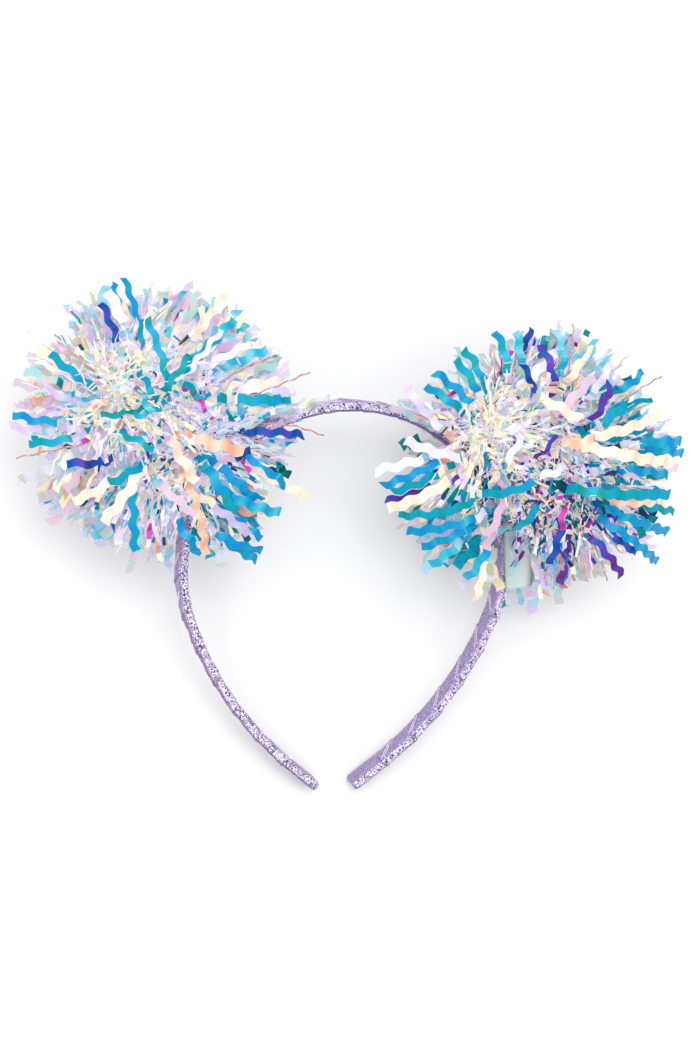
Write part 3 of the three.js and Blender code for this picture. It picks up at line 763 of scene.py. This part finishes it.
def stray_strips(side, seed):
    rng = np.random.default_rng(seed)
    table = STRAYS[side]
    n = len(table)
    start = np.stack([seen_at(*row[:3]) for row in table])
    tip = np.stack([seen_at(*row[3:6]) for row in table])
    tone, width, clear = (np.array(values) for values in (
        [TONE_AT[row[6]] for row in table], [row[7] for row in table], [row[8] for row in table]))
    tone = tone[:, None] + rng.normal(0, 0.4 * TONE_STEP, (n, LONG_FACETS))
    clear = clear[:, None] + rng.normal(0, 0.08, (n, LONG_FACETS))
    tone, clear = in_runs(rng, 0.3, tone, clear)
    return dict(
        path=arc(start, tip, rng.normal(0, 0.5, (n, 3)) * [1, 1, 0]),
        facing=np.tile(FRONT, (n, 1)), width=width, amplitude=rng.uniform(0.4, 0.6, n),
        phase=rng.uniform(0, PHASES, n), slant=rng.normal(0, 0.5, n), twist=np.zeros(n),
        roll=np.zeros(n), crease=np.zeros((n, LONG_FACETS + 1)), tone=np.clip(tone, 0, 1),
        clear=np.clip(clear, 0.05, CLEAREST), glow=np.full((n, 2), PAINTED_GLOW_TIP))


THREAD_WIDTH = 0.55


def strands(side, seed):
    """Rows for the thin brownish threads of film, which the photo shows edge on."""
    rng = np.random.default_rng(seed)
    pompom = POMPOMS[side]
    x, y, tip_x, tip_y = np.array(STRANDS[side], float).T
    n = len(x)
    start, tip = dome(pompom, x, y, 0), dome(pompom, tip_x, tip_y, -3)
    root = start + (seen_at(*pompom["middle"]) - start) * 0.35
    path = np.stack([root, root + (start - root) * 0.7, start, tip], 1)
    tone = TONE_AT["rose"] + rng.normal(0, 0.4 * TONE_STEP, (n, LONG_FACETS))
    return dict(
        path=path, facing=np.tile(FRONT, (n, 1)), width=np.full(n, THREAD_WIDTH),
        amplitude=np.full(n, 0.25), phase=rng.uniform(0, PHASES, n), slant=np.zeros(n),
        twist=np.zeros(n), roll=np.zeros(n), crease=np.zeros((n, LONG_FACETS + 1)), tone=tone,
        clear=np.full((n, LONG_FACETS), 0.25), glow=np.full((n, 2), PAINTED_GLOW_TIP))


# Ribbon, folds, case and lights keep their solids, with finer looks


def flake_normal(tree, where, size, tilt):
    """Small flat flakes that each lean their own way: their random colour and their normal."""
    flakes = node(tree, "TexVoronoi", {"Vector": where, "Scale": 1000.0 / size}, feature="F1")
    normal = node(tree, "NewGeometry").outputs["Normal"]
    lean = node(tree, "VectorMath", {0: flakes.outputs["Color"], 1: (0.5, 0.5, 0.5)},
                operation="SUBTRACT")
    push = node(tree, "VectorMath", {0: lean.outputs[0], "Scale": tilt}, operation="SCALE")
    bent = node(tree, "VectorMath", {0: normal, 1: push.outputs[0]}, operation="ADD")
    facing = node(tree, "VectorMath", {0: bent.outputs[0]}, operation="NORMALIZE").outputs[0]
    return node(tree, "SeparateColor", {"Color": flakes.outputs["Color"]}), facing


def part_way(tree, value, low, high, most):
    """A factor that grows from 0 where a value is low to most where it is high."""
    return node(tree, "MapRange", {"Value": value, "From Min": low, "From Max": high,
                                   "To Min": 0.0, "To Max": most}).outputs[0]


# The side of the hoop where the glitter is painted lit, standing in for where the light falls on
# it, this one and the opposite one, and the crown's side, away from which the ribbon is painted in
# shade
PAINTED_GLINT_SIDE = tuple(float(a) for a in turned((0.4, 0.4, 0.82)))
CROWN_SIDE = tuple(float(a) for a in turned((0.0, 1.0, 0.0)))
# Sizes of the bright flakes and of the dull grain, in millimetres, and how far they lean
FLAKE, FLAKE_LEAN = 0.42, 1.2
GRAIN, GRAIN_LEAN = 0.3, 1.0


def ribbon_material():
    """Holographic ribbon: bright flakes, painted lit, on one side of its front edge and the
    opposite side of its back edge, with a little painted glow, and elsewhere fine dull grain as the
    same ribbon painted unlit, with painted shade where it faces away from the crown."""
    mat, tree, out = new_material("glitter_ribbon")
    where = node(tree, "TexCoord").outputs["Object"]
    normal = node(tree, "NewGeometry").outputs["Normal"]
    upward, painted_glint_facing = (
        node(tree, "VectorMath", {0: normal, 1: side}, operation="DOT_PRODUCT").outputs["Value"]
        for side in (CROWN_SIDE, PAINTED_GLINT_SIDE))
    random, facing = flake_normal(tree, where, FLAKE, FLAKE_LEAN)
    bright = ramp(tree, random.outputs[0], [
        (0.0, srgb(40, 32, 50)), (0.18, srgb(80, 66, 98)), (0.28, srgb(146, 132, 168)),
        (0.56, srgb(172, 157, 192)), (0.7, srgb(222, 214, 230)), (1.0, srgb(255, 252, 254))])
    metal = ramp(tree, random.outputs[1], [(0.0, (0.5,) * 3), (1.0, (0.95,) * 3)])
    # The flakes give off a little painted glow
    painted_lit_flakes = node(tree, "BsdfPrincipled", {
        "Base Color": bright, "Metallic": metal, "Roughness": 0.24, "Normal": facing,
        "Emission Color": bright, "Emission Strength": 0.16})
    grain, leaning = flake_normal(tree, where, GRAIN, GRAIN_LEAN)
    patch = node(tree, "TexNoise", {"Vector": where, "Scale": 60.0, "Detail": 1.0}).outputs["Fac"]
    plain = ramp(tree, grain.outputs[0], [
        (0.0, srgb(88, 74, 120)), (0.35, srgb(140, 124, 174)), (0.8, srgb(170, 154, 200)),
        (1.0, srgb(226, 216, 240))])
    rosy = ramp(tree, grain.outputs[1], [(0.0, srgb(140, 96, 140)), (1.0, srgb(200, 150, 190))])
    shaded = ramp(tree, grain.outputs[0], [
        (0.0, srgb(70, 56, 98)), (0.8, srgb(112, 96, 142)), (1.0, srgb(170, 156, 196))])
    share = part_way(tree, patch, 0.55, 0.75, 0.6)
    tinted = node(tree, "MixRGB", {0: share, 1: plain, 2: rosy}).outputs[0]
    # Painted shade: the grain turns darker where the ribbon faces away from the crown
    painted_shade_below = part_way(tree, upward, -0.1, -0.4, 1.0)
    tinted = node(tree, "MixRGB", {0: painted_shade_below, 1: tinted, 2: shaded}).outputs[0]
    dull = node(tree, "BsdfPrincipled", {"Base Color": tinted, "Metallic": 0.35, "Roughness": 0.4,
                                         "Normal": leaning})
    # Painted light: the flakes show only where the surface faces the glint side or its opposite,
    # where the light is taken to fall; elsewhere the ribbon is painted unlit as dull grain
    painted_glint_facing = node(tree, "Math", {0: painted_glint_facing}, operation="ABSOLUTE").outputs[0]
    front = part_way(tree, painted_glint_facing, 0.7, 0.79, 1.0)
    whole = node(tree, "MixShader", {0: front, 1: dull.outputs[0], 2: painted_lit_flakes.outputs[0]})
    tree.links.new(whole.outputs[0], out.inputs["Surface"])
    return mat


# Stitched lines where one turn of the ribbon ends on the next, on both broad faces of the hoop,
# and the dark flakes of the same seam on its front edge. A seam runs along the hoop as it crosses
# a face. A bead's sizes are its half lengths along the line, out of the face and across.
RIBBON_PITCH = 14.0
STITCH_RUN = 6.4
STITCH_START = 7.5
STITCH_GAP = 0.62
STITCH_LINES = (0.0, 1.3)
STITCH_HEIGHT = 0.2
BEAD = np.array([[0.26], [0.3], [0.26]])
STITCHED_TO = 184.0
SEAM_SPECKS = 34
SPECK_SIZE = 0.7
SPECKS_TO = 1.2


def ribbon_stitches(material, seed):
    """Small eight-sided beads: light ones as stitches and dark ones as specks."""
    rng = np.random.default_rng(seed)
    corners = np.array([[1, 0, 0], [-1, 0, 0], [0, 1, 0], [0, -1, 0], [0, 0, 1], [0, 0, -1]], float)
    faces = np.array([[0, 2, 4], [2, 1, 4], [1, 3, 4], [3, 0, 4],
                      [2, 0, 5], [1, 2, 5], [3, 1, 5], [0, 3, 5]])
    verts, dark = [], []
    flat = BAND_WIDTH / 2 - 1.0
    per_line = int(math.hypot(2 * flat, STITCH_RUN) / STITCH_GAP)
    turns = int(STITCHED_TO / RIBBON_PITCH) + 1
    for turn in range(-turns, turns):
        seam = STITCH_START + turn * RIBBON_PITCH
        for face, shift in ((-1, 0.0), (1, RIBBON_PITCH / 2)):
            for line in STITCH_LINES:
                for share in np.linspace(0, 1, per_line):
                    length = seam + shift + line + STITCH_RUN * share
                    if abs(length) > STITCHED_TO:
                        continue
                    point, tangent, normal = hoop_at(length)
                    out = face * (BAND_THICKNESS / 2 + STITCH_HEIGHT)
                    middle = point + normal * out + FRONT * (2 * share - 1) * flat
                    run = unit(tangent * STITCH_RUN + FRONT * 2 * flat)
                    axes = np.stack([run, normal, np.cross(run, normal)]) * BEAD
                    verts.append(middle + corners @ axes)
                    dark.append(0.0)
        for _ in range(SEAM_SPECKS):
            out = rng.uniform(-SPECKS_TO, SPECKS_TO)
            length = seam + STITCH_RUN + 0.7 + out * 0.8 + rng.normal(0, 0.45)
            if abs(length) > STITCHED_TO:
                continue
            point, tangent, normal = hoop_at(length)
            drop = 0.35 * max(abs(out) - 0.5, 0.0)
            middle = point + normal * out + FRONT * (BAND_WIDTH / 2 + 0.05 - drop)
            axes = np.stack([tangent, normal, FRONT]) * BEAD * SPECK_SIZE
            verts.append(middle + corners @ axes)
            dark.append(1.0)
    verts = placed(np.concatenate(verts))
    all_faces = np.concatenate([faces + len(corners) * i for i in range(len(dark))])
    obj = mesh_object("ribbon_stitches", verts, all_faces, material, smooth=False)
    add_values(obj, dark=np.repeat(dark, len(faces)))
    return obj


STITCH_FLAKE, STITCH_LEAN = 0.5, 0.6


def stitch_material():
    mat, tree, out = new_material("ribbon_stitch")
    where = node(tree, "TexCoord").outputs["Object"]
    random, facing = flake_normal(tree, where, STITCH_FLAKE, STITCH_LEAN)
    light = ramp(tree, random.outputs[0], [(0.0, srgb(206, 188, 218)), (0.6, srgb(238, 222, 236)),
                                           (1.0, srgb(252, 246, 250))])
    shade = ramp(tree, random.outputs[1], [(0.0, srgb(30, 24, 36)), (0.6, srgb(62, 50, 74)),
                                           (1.0, srgb(150, 120, 140))])
    dark = node(tree, "Attribute", attribute_name="dark").outputs["Fac"]
    colour = node(tree, "MixRGB", {0: dark, 1: light, 2: shade}).outputs[0]
    solid = node(tree, "BsdfPrincipled", {"Base Color": colour, "Metallic": 0.1, "Roughness": 0.4,
                                          "Normal": facing})
    tree.links.new(solid.outputs[0], out.inputs["Surface"])
    return mat


# The case's inner and outer sides, between which its colour changes: painted shading, darker at
# the inner side, a painted highlight towards the outer side and a painted dark rim at it
CASE_SIDES = ((58.84 + CROWN[0]) * MM, (71.61 + CROWN[0]) * MM)


def frosted_material():
    mat, tree, out = new_material("frosted_case")
    where = node(tree, "TexCoord").outputs["Object"]
    grain = node(tree, "TexNoise", {"Vector": where, "Scale": 2500.0, "Detail": 2.0}).outputs["Fac"]
    bump = node(tree, "Bump", {"Height": grain, "Strength": 0.3, "Distance": 0.0002}).outputs[0]
    across = node(tree, "SeparateXYZ", {"Vector": where}).outputs["X"]
    share = part_way(tree, across, *CASE_SIDES, 0.92)
    painted_shading_at = node(tree, "Math", {0: grain, 1: 0.08, 2: share}, operation="MULTIPLY_ADD").outputs[0]
    # Painted shading and highlight across the case, from its inner to its outer side
    colour = ramp(tree, painted_shading_at, [
        (0.0, srgb(120, 132, 132)), (0.14, srgb(168, 184, 184)), (0.4, srgb(176, 192, 192)),
        (0.72, srgb(186, 200, 198)), (0.86, srgb(150, 160, 150)), (0.97, srgb(86, 92, 72))])
    solid = node(tree, "BsdfPrincipled", {"Base Color": colour, "Roughness": 0.42, "Normal": bump,
                                          "Subsurface Weight": 0.2, "Subsurface Scale": 0.002})
    tree.links.new(solid.outputs[0], out.inputs["Surface"])
    return mat


def lens_material():
    mat, tree, out = new_material("led_lens")
    where = node(tree, "TexCoord").outputs["Object"]
    cloud = node(tree, "TexNoise", {"Vector": where, "Scale": 600.0, "Detail": 1.0}).outputs["Fac"]
    colour = ramp(tree, cloud, [(0.3, srgb(255, 240, 214)), (0.7, srgb(255, 250, 240))])
    solid = node(tree, "BsdfPrincipled", {"Base Color": colour, "Roughness": 0.15,
                                          "Emission Color": colour, "Emission Strength": 6.0})
    tree.links.new(solid.outputs[0], out.inputs["Surface"])
    return mat


def dress(name, material):
    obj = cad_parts[name]
    obj.data.materials.clear()
    obj.data.materials.append(material)


def add_floor():
    mesh = bpy.data.meshes.new("floor")
    size = 3.0
    corners = [(-size, -size, 0), (size, -size, 0), (size, size, 0), (-size, size, 0)]
    mesh.from_pydata(corners, [], [(0, 1, 2, 3)])
    mat, tree, out = new_material("floor")
    where = node(tree, "TexCoord").outputs["Object"]
    cloud = node(tree, "TexNoise", {"Vector": where, "Scale": 3.0}).outputs["Fac"]
    colour = ramp(tree, cloud, [(0.0, (0.695, 0.695, 0.70)), (1.0, (0.705, 0.705, 0.705))])
    solid = node(tree, "BsdfPrincipled", {"Base Color": colour, "Roughness": 0.9,
                                          "Specular IOR Level": 0.1})
    tree.links.new(solid.outputs[0], out.inputs["Surface"])
    mesh.materials.append(mat)
    floor = bpy.data.objects.new("floor", mesh)
    bpy.context.collection.objects.link(floor)


def add_light(name, where, target, size, power):
    data = bpy.data.lights.new(name, "AREA")
    data.shape = "SQUARE"
    data.size = size
    data.energy = power
    light = bpy.data.objects.new(name, data)
    light.location = where
    light.rotation_euler = (Vector(target) - Vector(where)).to_track_quat("-Z", "Y").to_euler()
    bpy.context.collection.objects.link(light)


def add_lights():
    add_light("overhead", (-0.2, -0.05, 1.25), (0, 0, 0), 1.6, 12)
    add_light("key", (-0.1, 0.1, 1.1), (0, 0, 0.03), 0.3, 2)
    world = bpy.data.worlds.new("studio")
    world.use_nodes = True
    background = world.node_tree.nodes["Background"]
    background.inputs["Color"].default_value = (1.0, 0.995, 0.99, 1)
    background.inputs["Strength"].default_value = 1.06
    scene = bpy.context.scene
    scene.world = world
    scene.view_settings.view_transform = "Standard"
    scene.cycles.transparent_max_bounces = 32


# Seeds of each kind of strip for the left pompom, and one more for the right
SEEDS = dict(front=51, opaque=11, clear=21, crinkle=31, thread=71, stray=81)
STITCH_SEED = 91
# How many long strips of each kind a pompom has, and how many crumpled ones are drawn, of which
# those that would hit or hide something go
OPAQUE, CLEAR, CRINKLED = 300, 380, 1650

add_camera()
add_floor()
add_lights()

film = film_material()
ribbon = ribbon_material()
for name in ("wrapped_band", "end_fold_left", "end_fold_right"):
    dress(name, ribbon)
dress("battery_case", frosted_material())
lens = lens_material()
for name in ("led_left", "led_right"):
    dress(name, lens)

for index, side in enumerate(("left", "right")):
    seeds = {kind: seed + index for kind, seed in SEEDS.items()}
    leading, front = front_strips(side, seeds["front"])
    kept_clear = front + band_seen() + CASE_SEEN
    kinds = {
        "strips": long_strips(side, seeds["opaque"], OPAQUE, False, kept_clear),
        "clear_strips": long_strips(side, seeds["clear"], CLEAR, True, kept_clear),
        "crinkles": crinkles(side, seeds["crinkle"], CRINKLED, kept_clear),
        "front_strips": leading,
        "threads": strands(side, seeds["thread"]),
        "strays": stray_strips(side, seeds["stray"]),
    }
    for kind, rows in kinds.items():
        piece = strip_mesh(f"film_{kind}_{side}", rows, film)
        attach(piece, "root")
        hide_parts(f"pompom_{side}")

stitches = ribbon_stitches(stitch_material(), STITCH_SEED)
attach(stitches, "root")
